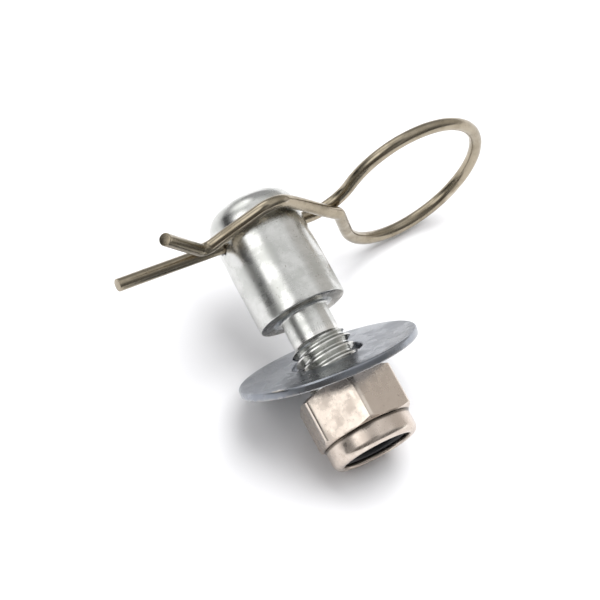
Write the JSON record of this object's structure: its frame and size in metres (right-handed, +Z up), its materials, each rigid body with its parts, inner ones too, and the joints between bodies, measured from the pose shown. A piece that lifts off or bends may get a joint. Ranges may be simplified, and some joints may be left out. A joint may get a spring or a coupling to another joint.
{
  "type": "hitch pin lock",
  "caption": "Threaded hitch stud with a cross-drilled post, a one-wire clip with a finger ring, a wide flat washer and a nylon-insert lock nut.",
  "frame": {"origin": "centre of the post's shoulder face, on the stud's axis", "axes": "+Z up from the table that the part lies on; the stud's axis lies in the XZ plane, from the post towards the nut along +X and 17.3 degrees down; the clip's ring points along +Y"},
  "size_m": [0.0598, 0.0887, 0.041],
  "materials": {
    "zinc_steel": "bright turned steel with clear zinc",
    "washer_zinc": "blue-grey zinc",
    "nut_steel": "warm satin plating",
    "nylon": "black nylon",
    "spring_wire": "drawn spring wire, warm plating"
  },
  "bodies": {
    "stud": {"stud": "zinc_steel"},
    "washer": {"fender_washer": "washer_zinc"},
    "insert": {"nylon_insert": "nylon"},
    "nut": {"lock_nut": "nut_steel"},
    "clip": {"clip_ring_and_leg": "spring_wire"},
    "spring_leg": {"clip_spring_leg": "spring_wire"}
  },
  "joints": [
    {"name": "washer_tilt", "type": "hinge", "parent": "stud", "child": "washer", "pos_m": [0.01047, 0, -0.00337], "axis": [0, -1, 0], "range_deg": [0, 39]},
    {"name": "nut_travel", "type": "slide", "parent": "stud", "child": "insert", "axis": [0.9548, 0, -0.2974], "range_m": [0, 0.00977]},
    {"name": "nut_turn", "type": "hinge", "parent": "insert", "child": "nut", "pos_m": [0.01623, 0, -0.00506], "axis": [0.9548, 0, -0.2974], "range_deg": [0, 1800]},
    {"name": "clip_pull", "type": "slide", "parent": "stud", "child": "clip", "axis": [-0.0537, 0.9836, -0.1724], "range_m": [0, 0.055], "deforming": ["clip_spring_leg"]},
    {"name": "clip_flex", "type": "hinge", "parent": "clip", "child": "spring_leg", "pos_m": [-0.01729, 0.02078, -0.00472], "axis": [-0.9925, -0.0335, 0.1178], "range_deg": [0, 16], "stiffness_Nm_per_rad": 0.05, "deforming": ["clip_spring_leg"]}
  ],
  "couplings": [
    {"joint": "nut_travel", "follows": "nut_turn", "m_per_rad": 0.00031096}
  ]
}
